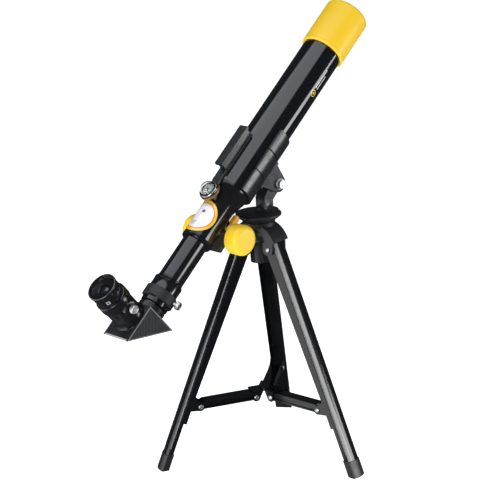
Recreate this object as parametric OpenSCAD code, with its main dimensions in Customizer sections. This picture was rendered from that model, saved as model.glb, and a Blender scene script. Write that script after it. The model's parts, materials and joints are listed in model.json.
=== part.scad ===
// Small beginner's refractor telescope on a tabletop tripod. Millimetres, +Z up.
// The origin is on the tripod's axis, on the surface that the feet stand on.
// At rest the tube points along +Y and up, and the eyepiece end is towards -Y.

/* [Tripod] */
// Azimuth of the first leg, counted from +X towards +Y
leg_azimuth = 5; // [0:1:20]
// Lean of an open leg from the vertical
leg_lean = 22.2; // [21.5:0.1:23]
// Radius at which the outer face of a leg meets the ground
foot_radius = 123.5; // [120:0.5:127]
// Height of the leg hinges above the ground
hinge_height = 230.5; // [228:0.5:233]
// Distance of each leg hinge from the tripod's axis
hinge_radius = 19.5; // [19:0.1:20]
// Width of a leg's channel
leg_width = 16.7; // [16.5:0.1:17]

/* [Brace] */
// Height of the brace's pivots above the ground
brace_height = 64.5; // [62:0.5:67]
// Distance of the inner pivots from the axis
brace_inner = 13; // [12.5:0.1:13.5]
// Distance of the outer pivots from the axis
brace_outer = 75.5; // [75:0.5:77]
// Width of a brace arm
arm_width = 12.7; // [12:0.1:12.7]

/* [Head] */
// Radius of the turntable
table_radius = 24; // [22:0.5:25]
// Forward offset of the altitude pivot from the tripod's axis
pivot_y = 21.5; // [20:0.5:23]
// Height of the altitude pivot above the ground
pivot_z = 293.3; // [291:0.1:296]
// Elevation of the tube above the horizontal at rest
tube_elevation = 40; // [30:1:45]

/* [Tube] */
// Outer diameter of the main tube
tube_od = 43; // [43:0.1:43.4]
// Length of the main tube, hood overlap included
tube_length = 233.5; // [228:0.5:238]
// Outer diameter of the lens hood
hood_od = 48.2; // [47.6:0.1:50]
// Length of the lens hood
hood_length = 55.5; // [50:0.5:60]
// Diameter of the objective lens
lens_d = 40; // [39:0.1:40]

/* [Focuser] */
// Outer diameter of the focuser's neck
neck_od = 32; // [31.5:0.1:32.5]
// Outer diameter of the drawtube
draw_od = 26.5; // [26:0.1:26.5]
// Diameter of a focus knob
knob_d = 31.2; // [28:0.1:32]
// Thickness of a focus knob
knob_t = 17; // [14:0.5:18]

/* [Diagonal and eyepiece] */
// Leg length of the diagonal's triangular house
diag_leg = 42; // [41:0.5:43]
// Width of the diagonal's house, side plates included
diag_width = 36; // [35:0.5:38]
// Diameter of the diagonal's nose and of the eyepiece's barrel
barrel_d = 24.5; // [24.3:0.1:24.5]
// Outer diameter of the eyepiece's rim
eye_od = 30.6; // [30:0.1:32]

/* [Hidden] */
$fn = 64;

// colours
black = "#1b1b1e";
dark = "#26272a";
rubber = "#101012";
steel = "silver";
yellow = "#f2c21a";
orange = "#e79a12";
amber = "#8a5a20";
card = "#dfe4e2";
glass = "#9fc4d6";
clear = "#cfe0e4";

// running clearance on a radius, and the small gap between faces that don't touch
run = 0.05;
gap = 0.3;
far = 400;

// tripod
leg_angles = [0, 120, 240];
leg_depth = 7.1;
sheet = 0.8;
liner_edge = 10.8;
leg_out = (foot_radius - hinge_radius) * cos(leg_lean) - hinge_height * sin(leg_lean);
leg_top = 4;
hinge_r = 2;
lug_r = 6.3;
liner_end = -196.7;
liner_half = leg_width / 2 - sheet - run;
pin_dx = brace_outer - hinge_radius;
pin_dz = brace_height - hinge_height;
pin_x = pin_dx * cos(leg_lean) + pin_dz * sin(leg_lean);
pin_z = -pin_dx * sin(leg_lean) + pin_dz * cos(leg_lean);
pin_r = 1.5;
ear_r = 4.4;
ear_taper = 7;
screw_head_r = 2.7;
screw_head_t = 1.6;
foot_grow = 0.7;
foot_height = 17;

// brace
arm_length = brace_outer - brace_inner;
arm_low = -3.2;
arm_high = 5.8;
arm_wall = 1.2;
hub_wall = 1.2;
hub_reach = 17.5;

// crown
crown_boss_z = 213.4;
crown_top_z = 258;
collar_r = 17.2;
lobe_half = 12;
lobe_arc_r = 27;
lobe_arc_x = 3.5;
lobe_arc_z = 229.5;
lobe_low_z = 239;
lobe_skin = 2.5;
lug_in = 8.75;
lug_out = 11.2;
bolt_r = 4;

// head
table_z = 258.6;
neck_y = 9.5;
neck_half = 6.5;
knuckle_r = 8.5;
tilt_r = 3;
ear_in = 6.9;
ear_out = 11;

// tube frame: x across, y along the tube from its rear end, z up from its axis
pivot_t = 51;
pivot_h = -42;
tube_r = tube_od / 2;
tube_rear = 6.5;
tube_wall = 1.2;
cradle_screw_t = [25, 76];
hood_rear = 193;
draw_r = draw_od / 2;
neck_r = neck_od / 2;
neck_end = -59.5;
shaft_t = -34.5;
shaft_h = -20;
rack_teeth = 27;
gear_teeth = 12;
gear_module = 1;
pitch_r = gear_teeth * gear_module / 2;
tooth_add = 0.65;
tooth_ded = 0.9;
pressure_angle = 20;
backlash = 0.12;
rack_pitch_h = shaft_h + pitch_r;
lock_t = -27;
lock_h = -17.6;
knob_in = 23;
compass_t = -11;
socket_start = -109;
ring_start = -122;
ring_end = -133;
socket_end = -138;
draw_screw_t = -127;
draw_screw_roll = 25;
house_front = -147.4;
house_high = 18.5;
house_low = house_high - diag_leg;
plate_t = 2.5;
eye_t = -163.5;
barrel_r = barrel_d / 2;
eye_r = eye_od / 2;
socket_top = 53.5;
eye_top = 68.5;
eye_screw_h = 38.5;

// ---- helpers ----

function arc(cx, cy, r, a0, a1, n = 12) =
    [for (i = [0:n]) let (a = a0 + (a1 - a0) * i / n) [cx + r * cos(a), cy + r * sin(a)]];

// the angle at which a line from point p touches a circle; side picks one of the two
function touch(p, c, r, side) =
    let (d = p - c) atan2(d[1], d[0]) + side * acos(r / norm(d));

// a round tube along Y between two stations
module tube_y(y0, y1, ro, ri = 0) {
    translate([0, y0, 0]) rotate([-90, 0, 0]) difference() {
        cylinder(h = y1 - y0, r = ro);
        if (ri > 0) translate([0, 0, -1]) cylinder(h = y1 - y0 + 2, r = ri);
    }
}

// a turned shape along Y: points are [radius, station]
module turned_y(points) {
    rotate([-90, 0, 0]) rotate_extrude() polygon(points);
}

// a rod along X between two places
module rod_x(x0, x1, r, fn = 48) {
    translate([x0, 0, 0]) rotate([0, 90, 0]) cylinder(h = x1 - x0, r = r, $fn = fn);
}

// a rod along Y between two places
module rod_y(y0, y1, r, fn = 48) {
    translate([0, y0, 0]) rotate([-90, 0, 0]) cylinder(h = y1 - y0, r = r, $fn = fn);
}

// puts its children, drawn in the radial plane, on leg i: x outwards, z up
module on_leg_side(i) {
    rotate([0, 0, leg_azimuth + leg_angles[i]]) children();
}

// the leg's own frame: hinge at the origin, x outwards, the leg along -Z
module on_leg(i) {
    on_leg_side(i) translate([hinge_radius, 0, hinge_height]) rotate([0, -leg_lean, 0]) children();
}

// the tube's own frame
module on_tube() {
    translate([0, pivot_y, pivot_z]) rotate([tube_elevation, 0, 0])
        translate([0, -pivot_t, -pivot_h]) children();
}

// everything below a height above the ground, in the leg's own frame
module below(z) {
    rotate([0, leg_lean, 0]) translate([0, -40, z - hinge_height - 160]) cube([300, 80, 160]);
}

// ---- tripod ----

// outline of the leg's channel: bowed outer face, two flat sides, a groove at each corner
module leg_profile(grow = 0) {
    half = leg_width / 2 + grow;
    bow_r = 22;
    intersection() {
        translate([leg_out - bow_r, 0]) circle(r = bow_r + grow, $fn = 96);
        translate([leg_out - leg_depth - grow, -half]) square([leg_depth + 2 * grow, 2 * half]);
    }
}

module leg_shell(i) {
    color(black) on_leg(i) difference() {
        translate([0, 0, -far]) linear_extrude(far + leg_top) difference() {
            leg_profile();
            translate([leg_out - leg_depth - 1, -liner_half - run])
                square([leg_depth - 0.8, 2 * (liner_half + run)]);
            for (side = [-1, 1]) translate([leg_out - 3.2, side * leg_width / 2])
                square([0.7, 0.8], center = true);
        }
        below(2.05);
    }
}

// folded sheet channel inside the leg, with the hinge lugs and the brace ears
module leg_liner(i) {
    web_x = leg_out - 1.8 - run;
    side_points = concat(
        arc(0, 0, lug_r, 170, 35, 12),
        [[web_x, leg_top - 0.5], [web_x, liner_end], [leg_out - liner_edge, liner_end],
         [leg_out - liner_edge, pin_z - ear_taper]],
        arc(pin_x, pin_z, ear_r, 240, 120, 10),
        [[leg_out - liner_edge, pin_z + ear_taper]]);
    color(dark) on_leg(i) difference() {
        union() {
            for (side = [-1, 1]) translate([0, side * (liner_half - sheet / 2) + sheet / 2, 0])
                rotate([90, 0, 0]) linear_extrude(sheet) polygon(side_points);
            translate([web_x - sheet, -liner_half, liner_end])
                cube([sheet, 2 * liner_half, leg_top - 0.5 - liner_end]);
        }
        rod_y(-20, 20, hinge_r + run);
        translate([pin_x, 0, pin_z]) rod_y(-20, 20, pin_r);
    }
}

module leg_foot(i) {
    color(rubber) on_leg(i) difference() {
        intersection() {
            translate([0, 0, -far]) linear_extrude(far - 180) leg_profile(foot_grow);
            rotate([0, leg_lean, 0]) translate([0, -40, -hinge_height])
                cube([200, 80, foot_height]);
        }
        difference() {
            translate([0, 0, -far]) linear_extrude(far) leg_profile(0.02);
            rotate([0, leg_lean, 0]) translate([0, -40, -hinge_height - 160]) cube([200, 80, 162]);
        }
    }
}

// the two short screws that stand in a leg's brace ears
module brace_screws(i) {
    color(steel) on_leg(i) translate([pin_x, 0, pin_z]) for (side = [-1, 1]) {
        rotate([0, 0, side > 0 ? 0 : 180]) {
            rod_y(liner_half - sheet, liner_half, pin_r);
            rod_y(liner_half, liner_half + screw_head_t, screw_head_r);
        }
    }
}

module leg_hinge_screws() {
    color(steel) for (i = [0:2]) on_leg_side(i) translate([hinge_radius, 0, hinge_height]) {
        rod_y(-lug_out, lug_out, hinge_r);
        for (side = [-1, 1]) rotate([0, 0, side > 0 ? 0 : 180])
            rod_y(lug_out, lug_out + screw_head_t, screw_head_r);
    }
}

// crown: a domed casting with a shoulder over each leg and a central boss
module crown() {
    lug_points = concat([[hinge_radius - lug_r, lobe_low_z + 1]],
        arc(hinge_radius, hinge_height, lug_r, 180, 360, 16),
        [[hinge_radius + lug_r, lobe_low_z + 1]]);
    color(black) difference() {
        union() {
            rotate_extrude() polygon(concat([[0, crown_boss_z], [10, crown_boss_z], [10.6, 232],
                [20, lobe_low_z]], arc(4, 237, 16.2, 8, 58, 8), [[collar_r, 252.5]],
                [[collar_r, crown_top_z - 0.8], [collar_r - 0.8, crown_top_z], [0, crown_top_z]]));
            for (i = [0:2]) on_leg_side(i) {
                intersection() {
                    translate([lobe_arc_x, -lobe_half, lobe_arc_z]) rotate([-90, 0, 0])
                        cylinder(h = 2 * lobe_half, r = lobe_arc_r, $fn = 96);
                    translate([0, -lobe_half, lobe_low_z])
                        cube([40, 2 * lobe_half, crown_top_z - 1 - lobe_low_z]);
                }
                for (side = [-1, 1])
                    translate([0, side * (lug_in + lug_out) / 2 + (lug_out - lug_in) / 2, 0])
                        rotate([90, 0, 0]) linear_extrude(lug_out - lug_in) polygon(lug_points);
            }
        }
        for (i = [0:2]) on_leg_side(i) {
            intersection() {
                translate([lobe_arc_x, -lug_in, lobe_arc_z]) rotate([-90, 0, 0])
                    cylinder(h = 2 * lug_in, r = lobe_arc_r - lobe_skin, $fn = 96);
                translate([11.2, -lug_in, 200]) cube([40, 2 * lug_in, 48]);
            }
            translate([hinge_radius, 0, hinge_height]) rod_y(-20, 20, hinge_r);
        }
        translate([0, 0, 200]) cylinder(h = 80, r = bolt_r + run);
        translate([0, 0, 200]) cylinder(h = crown_boss_z - 200 + 8, r = 8);
    }
}

// ---- brace ----

// hub: a three-armed star plate with a pair of ears under each arm
module brace_hub() {
    half = arm_width / 2 + 0.35;
    side = half + hub_wall;
    plate_z = arm_high + 0.45;
    ear_points = concat([[5.2, plate_z + 0.2]], arc(brace_inner, 0, ear_r, 215, 320, 10),
        [[hub_reach - 0.6, plate_z + 0.2]]);
    star = [for (i = [0:2]) let (a = leg_azimuth + leg_angles[i]) each [
        [hub_reach * cos(a) + side * sin(a), hub_reach * sin(a) - side * cos(a)],
        [hub_reach * cos(a) - side * sin(a), hub_reach * sin(a) + side * cos(a)],
        [side / sin(60) * cos(a + 60), side / sin(60) * sin(a + 60)]]];
    color(dark) translate([0, 0, brace_height]) {
        translate([0, 0, plate_z]) linear_extrude(1.3) polygon(star);
        translate([0, 0, plate_z + 1]) cylinder(h = 1.4, r = 7);
        for (i = [0:2]) on_leg_side(i) difference() {
            for (place = [-half, half + hub_wall]) translate([0, place, 0])
                rotate([90, 0, 0]) linear_extrude(hub_wall) polygon(ear_points);
            translate([brace_inner, 0, 0]) rod_y(-20, 20, pin_r);
        }
    }
}

module hub_screws() {
    reach = arm_width / 2 + 0.35 + hub_wall;
    color(steel) for (i = [0:2]) on_leg_side(i) translate([brace_inner, 0, brace_height]) {
        rod_y(-reach, reach, pin_r);
        for (side = [-1, 1]) rotate([0, 0, side > 0 ? 0 : 180])
            rod_y(reach, reach + screw_head_t, screw_head_r);
    }
}

// brace arm: a sheet channel, open below, with a rounded tongue at each end
module brace_arm(i) {
    side_points = concat(arc(0, 0, -arm_low, 150, 270, 8),
        arc(arm_length, 0, -arm_low, 270, 400, 8),
        [[arm_length - 5, arm_high], [0.6, arm_high], [-1.2, arm_high - 1.5]]);
    color(dark) on_leg_side(i) translate([brace_inner, 0, brace_height]) difference() {
        union() {
            for (side = [-1, 1])
                translate([0, side * (arm_width - arm_wall) / 2 + arm_wall / 2, 0])
                    rotate([90, 0, 0]) linear_extrude(arm_wall) polygon(side_points);
            translate([0.6, -arm_width / 2, arm_high - arm_wall])
                cube([arm_length - 5.6, arm_width, arm_wall]);
        }
        rod_y(-20, 20, pin_r + run);
        translate([arm_length, 0, 0]) rod_y(-20, 20, pin_r + run);
    }
}

// ---- head ----

module pan_bolt() {
    nut_h = 5.4;
    washer_h = 1.6;
    start = crown_boss_z + 0.6;
    color(steel) translate([0, 0, start]) {
        cylinder(h = nut_h, r = 6.5, $fn = 6);
        translate([0, 0, nut_h]) cylinder(h = washer_h, r = 7.4);
        translate([0, 0, nut_h + washer_h])
            cylinder(h = table_z + 6 - start - nut_h - washer_h, r = bolt_r);
    }
}

module head_casting() {
    post_top = 281;
    color(black) difference() {
        union() {
            rotate_extrude($fn = 96) polygon([[0, table_z], [17.6, table_z], [table_radius - 1, table_z + 4],
                [table_radius, table_z + 5], [table_radius, table_z + 6.6],
                [table_radius - 0.8, table_z + 7.4], [14, table_z + 8.6], [0, table_z + 9]]);
            translate([0, neck_y, table_z + 7]) rotate_extrude() polygon(concat([[0, 0], [13, 0]],
                arc(14.5, 9.5, 8, 270, 180, 8), [[0, 9.5]]));
            translate([neck_half, 0, 0]) rotate([90, 0, -90]) mirror([1, 0, 0])
                linear_extrude(2 * neck_half) polygon(concat(
                    [[neck_y - neck_half, table_z + 6], [neck_y + neck_half, table_z + 6],
                     [neck_y + neck_half, post_top - 4]],
                    arc(pivot_y, pivot_z, knuckle_r, -60, 150, 20),
                    [[neck_y - neck_half, post_top]]));
        }
        translate([0, pivot_y, pivot_z]) rod_x(-20, 20, tilt_r);
        translate([0, 0, table_z - 1]) cylinder(h = 7, r = bolt_r);
    }
}

// altitude bolt: fixed in the knuckle, hexagon head on the right
module tilt_bolt() {
    color(steel) translate([0, pivot_y, pivot_z]) {
        rod_x(-22, ear_out + 0.2, tilt_r);
        rod_x(ear_out + 0.2, ear_out + 1, 5.6);
        rod_x(ear_out + 1, ear_out + 5, 5.2, 6);
    }
}

module tilt_knob() {
    lobes = 5;
    outline = [for (a = [0:5:355]) let (r = 9.6 + 0.9 * cos(a * lobes)) [r * cos(a), r * sin(a)]];
    color(black) translate([0, pivot_y, pivot_z]) difference() {
        union() {
            rod_x(-14.2, -ear_out - gap, 6);
            translate([-23, 0, 0]) rotate([90, 0, 90]) linear_extrude(9) polygon(outline);
        }
        rod_x(-24, 0, tilt_r + run);
    }
}

// ---- tube ----

// C-shaped saddle that clips round the tube, with two slits in each wing and two ears below
module cradle() {
    shell_r = tube_r + 2.7;
    front = 85;
    rear = 7.5;
    base_l = [pivot_t - 21, -17];
    base_r = [pivot_t + 13, -17];
    c = [pivot_t, pivot_h];
    ear_radius = 9;
    ear_points = concat([base_l],
        arc(c[0], c[1], ear_radius, touch(base_l, c, ear_radius, 1),
            touch(base_r, c, ear_radius, -1) + 360, 16), [base_r]);
    color(black) on_tube() difference() {
        union() {
            difference() {
                tube_y(rear, front, shell_r, tube_r + run);
                translate([-40, 0, tube_r * sin(20)]) cube([80, 100, 40]);
                for (t = [34, 60]) for (side = [-1, 1])
                    translate([side * 24 - 10, t - 0.6, -12]) cube([20, 1.2, 60]);
            }
            for (side = [-1, 1])
                translate([side * (ear_in + ear_out) / 2 - (ear_out - ear_in) / 2, 0, 0])
                    rotate([90, 0, 90]) linear_extrude(ear_out - ear_in) polygon(ear_points);
            translate([-ear_out, pivot_t - 20, -shell_r - 1.6])
                cube([2 * ear_out, 34, 6]);
        }
        tube_y(0, 100, tube_r + run);
        translate([0, pivot_t, pivot_h]) rod_x(-30, 30, tilt_r + run);
        for (t = cradle_screw_t) translate([0, t, -40]) cylinder(h = 30, r = 1.6);
        // room for the head's knuckle as the tube tilts
        translate([0, pivot_t, pivot_h]) rod_x(-ear_in, ear_in, 14.5);
    }
}

module cradle_screws() {
    color(steel) on_tube() for (t = cradle_screw_t) translate([0, t, 0]) {
        translate([0, 0, -tube_r - 4.4]) cylinder(h = 1.7, r = 2.9);
        translate([0, 0, -tube_r - 2.7]) cylinder(h = 5.6, r = 1.6);
    }
}

module main_tube() {
    color(black) on_tube() difference() {
        tube_y(tube_rear, tube_rear + tube_length, tube_r, tube_r - tube_wall);
        for (t = cradle_screw_t) translate([0, t, -30]) cylinder(h = 20, r = 1.6);
    }
}

module lens_hood() {
    ro = hood_od / 2;
    ri = tube_r + run;
    end = hood_rear + hood_length;
    color(yellow) on_tube() turned_y(concat(
        [[ri, hood_rear], [ro - 0.8, hood_rear], [ro, hood_rear + 0.8]],
        arc(ro - 3, end - 3, 3, 0, 90, 8),
        [[ro - 4, end], [ro - 4.4, end - 0.6], [ro - 4.4, tube_rear + tube_length + gap],
         [ri, tube_rear + tube_length + gap]]));
}

module lens_cell() {
    bore = tube_r - tube_wall - run;
    front = tube_rear + tube_length;
    color(black) on_tube() turned_y([[lens_d / 2 - 2, front - 14], [bore, front - 14], [bore, front - 0.5],
        [lens_d / 2 + run, front - 0.5], [lens_d / 2 + run, front - 5.5],
        [lens_d / 2 - 2, front - 5.5]]);
}

module objective_lens() {
    lens_at = tube_rear + tube_length - 8;
    curve = 60;
    rim_t = 1.6;
    sag = curve - sqrt(curve * curve - lens_d * lens_d / 4);
    color(glass) on_tube() translate([0, lens_at, 0]) intersection() {
        rod_y(-10, 14, lens_d / 2, 96);
        translate([0, curve, 0]) sphere(r = curve, $fn = 128);
        translate([0, 2 * sag + rim_t - curve, 0]) sphere(r = curve, $fn = 128);
        rod_y(0, 2 * sag + rim_t, lens_d / 2 + 1, 96);
    }
}

module lens_retainer() {
    front = tube_rear + tube_length;
    color(black) on_tube() tube_y(front - 2.3, front - 0.6, lens_d / 2, lens_d / 2 - 1.4);
}

module tube_baffle() {
    color(black) on_tube() tube_y(118, 119.6, tube_r - tube_wall - run, 15);
}

module finder_rail() {
    rail_y = 15.5;
    rail_l = 50;
    color(dark) on_tube() difference() {
        union() {
            translate([-5.5, rail_y, 30.3]) cube([11, rail_l, 3]);
            translate([-3.6, rail_y + 1, 15]) cube([7.2, rail_l - 2, 15.5]);
            translate([-5.2, rail_y + 1, 15]) cube([10.4, rail_l - 2, 7.6]);
        }
        tube_y(0, 100, tube_r + run);
    }
}

module compass_holder() {
    color(black) on_tube() difference() {
        union() {
            translate([0, compass_t, 20.7]) cylinder(h = 3.2, r = 10.8);
            translate([-6, -16.2, 12]) cube([12, 11, 9.5]);
            translate([-4.6, compass_t + 8, 20.7]) cube([9.2, 19.2, 3]);
        }
        translate([0, compass_t, 21.9]) cylinder(h = 10, r = 9.4);
        tube_y(-30, 30, neck_r + run);
        turned_y([[0, -13], [neck_r + run, -13], [tube_r - 0.75, tube_rear - gap], [0, tube_rear]]);
        tube_y(tube_rear - gap, 40, tube_r + run);
    }
}

module compass_bowl() {
    color(amber) on_tube() translate([0, compass_t, 21.95]) difference() {
        cylinder(h = 3.2, r = 9.3);
        translate([0, 0, 1]) cylinder(h = 5, r = 8.5);
    }
}

module compass_bezel() {
    color(steel) on_tube() translate([0, compass_t, 24]) rotate_extrude($fn = 96)
        polygon([[9.35, 0], [10.4, 0], [10.4, 1.4], [9.9, 2], [8.6, 2], [8.6, 1.3], [9.35, 1.3]]);
}

module compass_dome() {
    dome_r = 8.5;
    color(clear) on_tube() translate([0, compass_t, 25.2]) difference() {
        intersection() {
            sphere(r = dome_r, $fn = 96);
            cylinder(h = 20, r = dome_r);
        }
        intersection() {
            sphere(r = dome_r - 0.8, $fn = 96);
            translate([0, 0, -1]) cylinder(h = 20, r = dome_r);
        }
    }
}

module compass_card() {
    color(card) on_tube() translate([0, compass_t, 23.2]) {
        cylinder(h = 2.4, r = 0.8);
        translate([0, 0, 2.4]) cylinder(h = 0.8, r = 6.6);
        translate([0, 0, 3.2]) rotate([0, 0, 30]) linear_extrude(0.6)
            polygon([[0, 5.8], [1.5, 0], [0, -5.8], [-1.5, 0]]);
    }
}

// ---- focuser ----

// plug in the tube's rear end, cone, neck and lip, bored for the drawtube
module focuser_body() {
    plug_r = tube_r - tube_wall - run;
    color(black) on_tube() difference() {
        turned_y([[0, neck_end], [neck_r - 0.2, neck_end], [neck_r + 0.2, neck_end + 0.6],
            [neck_r + 0.2, neck_end + 3.2], [neck_r - 0.5, neck_end + 3.4],
            [neck_r - 0.5, neck_end + 3.9], [neck_r, neck_end + 4.1], [neck_r, -13],
            [tube_r - 0.8, tube_rear - gap - 1], [tube_r - 0.8, tube_rear - gap],
            [plug_r, tube_rear - gap], [plug_r, tube_rear + 16], [0, tube_rear + 16]]);
        tube_y(-80, 60, draw_r + run);
        turned_y([[0, -8], [draw_r + run, -8], [plug_r - 1.6, tube_rear + 2],
            [plug_r - 1.6, 60], [0, 60]]);
        // keyway for the rack, and the window where the pinion reaches it
        translate([-4.3, -80, rack_pitch_h - 1.3]) cube([8.6, 120, 8]);
        translate([0, shaft_t, shaft_h]) rod_x(-4.6, 4.6, 7.4);
    }
}

module pinion_block() {
    color(black) on_tube() difference() {
        translate([0, shaft_t, 0]) rotate([90, 0, 90]) translate([0, 0, -7.5]) linear_extrude(15)
            polygon([[-15.5, -8], [-15.5, -28.5], [-14, -30], [11, -30], [15.5, -25], [15.5, -8]]);
        tube_y(-80, 40, neck_r + 0.02);
        translate([0, shaft_t, shaft_h]) {
            rod_x(-20, 20, 2.5 + run);
            rod_x(-4.6, 4.6, 7.4);
        }
        translate([0, lock_t, lock_h]) rod_x(5, 10, 1.25 + run);
    }
}

// involute flank points of one tooth, from root to tip
function involute(rb, r) = let (t = sqrt(max(0, (r * r) / (rb * rb) - 1))) t * 180 / PI - atan(t);
function flank_angle(r) = let (rb = pitch_r * cos(pressure_angle))
    90 / gear_teeth - backlash / pitch_r * 90 / PI
    + involute(rb, pitch_r) - involute(rb, max(r, rb));
function tooth_points(k) = let (mid = 360 / gear_teeth * k, steps = 5,
    r0 = pitch_r - tooth_ded, r1 = pitch_r + tooth_add)
    concat(
        [for (s = [0:steps]) let (r = r0 + (r1 - r0) * s / steps, a = mid - flank_angle(r))
            [r * cos(a), r * sin(a)]],
        [for (s = [steps:-1:0]) let (r = r0 + (r1 - r0) * s / steps, a = mid + flank_angle(r))
            [r * cos(a), r * sin(a)]]);

module pinion_shaft() {
    color(steel) on_tube() translate([0, shaft_t, shaft_h]) {
        rod_x(-36, 36, 2.5);
        rotate([90, 0, 90]) translate([0, 0, -4.2]) linear_extrude(8.4)
            rotate(90) polygon([for (k = [0:gear_teeth - 1]) each tooth_points(k)]);
    }
}

// knob: a plain drum with rounded edges and a short hub
module focus_knob(side) {
    r = knob_d / 2;
    out = knob_in + knob_t;
    color(yellow) on_tube() translate([0, shaft_t, shaft_h]) rotate([0, side * 90, 0])
        rotate_extrude($fn = 96) polygon(concat(
            [[2.5, knob_in - 8], [5, knob_in - 8], [5, knob_in], [r - 1.5, knob_in], [r, knob_in + 1.5]],
            arc(r - 3.5, out - 3.5, 3.5, 0, 90, 8),
            [[0, out + 0.2], [0, 36], [2.5, 36]]));
}

module focus_lock() {
    color(orange) on_tube() translate([0, lock_t, lock_h]) {
        rod_x(5.2, 8, 1.25);
        rod_x(7.8, 10, 2.8);
        translate([7.9, 0, -1.2]) cube([1.6, 8, 2.4]);
        translate([8.6, 6, -2.6]) cube([5.4, 9.5, 5.6]);
    }
}

module drawtube() {
    color(black) on_tube() difference() {
        tube_y(socket_start - 6, -8, draw_r, draw_r - 1.6);
        translate([-3.1, socket_start - 8, -draw_r - 1]) cube([6.2, 110, 3]);
    }
}

// straight rack let into the underside of the drawtube
module focus_rack() {
    pitch = PI * gear_module;
    half = pitch / 4 - backlash / 2;
    slope = tan(pressure_angle);
    back = -draw_r + 1.9;
    root = rack_pitch_h + tooth_ded;
    tip = rack_pitch_h - tooth_add;
    // the tooth space that faces the pinion is centred on the shaft
    first = shaft_t - 18.5 * pitch;
    low = half - tooth_add * slope;
    wide = half + tooth_ded * slope;
    color(black) on_tube() translate([-3, 0, 0]) rotate([90, 0, 90]) linear_extrude(6) polygon(concat(
        [[first - pitch / 2, back], [first - pitch / 2, root]],
        [for (k = [0:rack_teeth - 1]) let (m = first + k * pitch) each
            [[m - wide, root], [m - low, tip], [m + low, tip], [m + wide, root]]],
        [[first + (rack_teeth - 0.5) * pitch, root], [first + (rack_teeth - 0.5) * pitch, back]]));
}

// ---- socket, diagonal and eyepiece ----

module draw_socket() {
    color(black) on_tube() difference() {
        turned_y([[draw_r + run, socket_start], [14.4, socket_start], [15, socket_start - 0.8],
            [15, ring_end - 0.2], [14.6, ring_end - 0.6], [14.6, socket_end],
            [barrel_r + run, socket_end], [barrel_r + run, socket_start - 6.5],
            [draw_r + run, socket_start - 6.5]]);
        translate([0, draw_screw_t, 0]) rotate([0, draw_screw_roll, 0]) rod_x(0, 20, 1.75);
    }
}

module draw_socket_ring() {
    color(dark) on_tube() difference() {
        tube_y(ring_end, ring_start, 16.8, 15);
        translate([0, draw_screw_t, 0]) rotate([0, draw_screw_roll, 0]) rod_x(0, 20, 1.75);
    }
}

// knurled thumbscrew along +X, its tip at x0
module thumbscrew(x0, seat, head_r) {
    rod_x(x0, seat + 1.5, 1.7);
    rod_x(seat + 1.5, seat + 3, head_r - 1.4);
    rod_x(seat + 3, seat + 7.5, head_r);
}

module draw_thumbscrew() {
    color(steel) on_tube() translate([0, draw_screw_t, 0]) rotate([0, draw_screw_roll, 0])
        thumbscrew(barrel_r + run, 16.6, 4.2);
}

// the triangle of the house in the tube's frame: points are [station, height]
function house_triangle(inset) = let (d = inset, e = inset * (1 + sqrt(2)))
    [[house_front - d, house_high - d], [house_front - d, house_low + e],
     [house_front - diag_leg + e, house_high - d]];

module diagonal_house() {
    half = diag_width / 2 - plate_t;
    color(black) on_tube() difference() {
        union() {
            translate([-half, 0, 0]) rotate([90, 0, 90]) linear_extrude(2 * half)
                polygon(house_triangle(0));
            tube_y(house_front - 1, socket_end - gap - 1.8, 14.2);
        }
        translate([-half - 1, 0, 0]) rotate([90, 0, 90]) linear_extrude(2 * half + 2)
            polygon(house_triangle(2.2));
        tube_y(house_front - 6, -100, barrel_r - 1.2);
        tube_y(house_front + 3, -100, barrel_r + run);
        translate([0, eye_t, house_high - 10]) cylinder(h = 20, r = barrel_r - 0.5);
    }
}

// the two side plates, each with a raised rim
module diagonal_plates() {
    half = diag_width / 2 - plate_t;
    color(dark) on_tube() for (side = [-1, 1]) translate([side * (half + plate_t / 2) - plate_t / 2, 0, 0])
        rotate([90, 0, 90]) difference() {
            linear_extrude(plate_t) polygon(house_triangle(0));
            translate([0, 0, side > 0 ? plate_t - 0.7 : -0.3]) linear_extrude(1)
                polygon(house_triangle(1.6));
        }
}

module diagonal_nose() {
    color(steel) on_tube() tube_y(house_front + 3.1, -117, barrel_r, barrel_r - 1.2);
}

module diagonal_prism() {
    reach = 13.5;
    color(glass) on_tube() translate([-14, 0, 0]) rotate([90, 0, 90]) linear_extrude(28)
        polygon([[eye_t + reach, reach], [eye_t + reach, -reach], [eye_t - reach, reach]]);
}

module eyepiece_socket() {
    color(black) on_tube() translate([0, eye_t, 0]) difference() {
        union() {
            rotate_extrude($fn = 96) polygon([[0, house_high], [16.4, house_high],
                [15.6, house_high + 2.5], [15.3, 41], [16.3, 42.5], [16.3, socket_top - 0.6],
                [15.7, socket_top], [0, socket_top]]);
            translate([0, 0, eye_screw_h]) rod_x(0, 18.4, 7);
        }
        translate([0, 0, house_high - 1]) cylinder(h = 40, r = barrel_r + run);
        translate([0, 0, eye_screw_h]) rod_x(0, 30, 1.75);
    }
}

module eye_thumbscrew() {
    color(steel) on_tube() translate([0, eye_t, eye_screw_h]) thumbscrew(barrel_r + run, 17.8, 4.3);
}

module eyepiece_body() {
    color(black) on_tube() translate([0, eye_t, 0]) rotate_extrude($fn = 96) polygon(concat(
        [[barrel_r - 1.2, socket_top + 0.2], [14.6, socket_top + 0.2], [14.6, socket_top + 5],
         [14.2, socket_top + 5.4], [14.2, socket_top + 6], [14.6, socket_top + 6.4],
         [14.3, eye_top - 4], [eye_r, eye_top - 2.8]],
        arc(eye_r - 0.9, eye_top - 0.9, 0.9, 0, 90, 4),
        [[13.4, eye_top], [12.6, eye_top - 0.8], [8, eye_top - 7], [8, eye_top - 9.5],
         [barrel_r - 1.2, eye_top - 9.5]]));
}

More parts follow.
